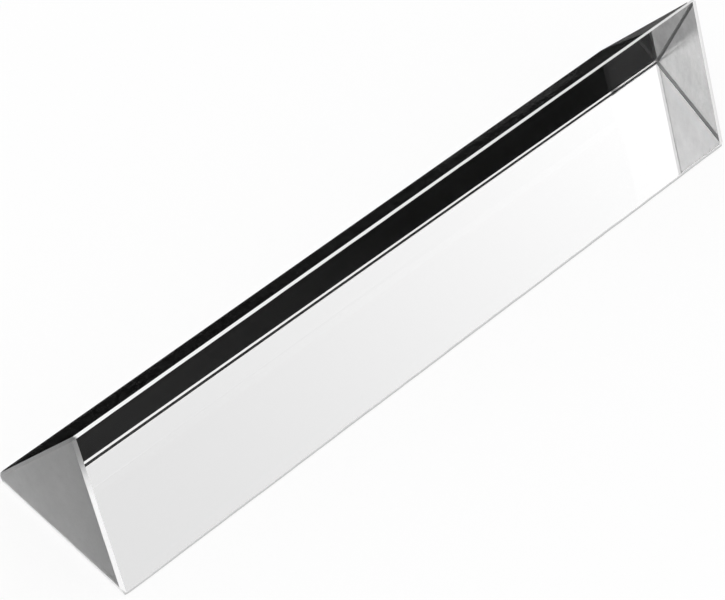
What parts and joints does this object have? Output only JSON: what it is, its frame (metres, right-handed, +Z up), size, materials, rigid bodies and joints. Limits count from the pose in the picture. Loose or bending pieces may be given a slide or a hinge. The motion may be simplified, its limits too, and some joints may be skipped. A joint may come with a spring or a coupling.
{
  "type": "glass prism",
  "caption": "Solid triangular bar of clear optical glass with polished long faces, ground ends and bevelled edges, for bending and splitting light.",
  "frame": {"origin": "middle of the long face that the bar lies on", "axes": "+X along the bar, +Z up from the resting face to the ridge, -Y towards the face turned to the viewer"},
  "size_m": [0.15, 0.0296, 0.0256],
  "materials": {
    "optical_glass": "polished long faces, fine-ground matt ends and bevels"
  },
  "bodies": {
    "root": {"prism": "optical_glass"}
  },
  "joints": []
}
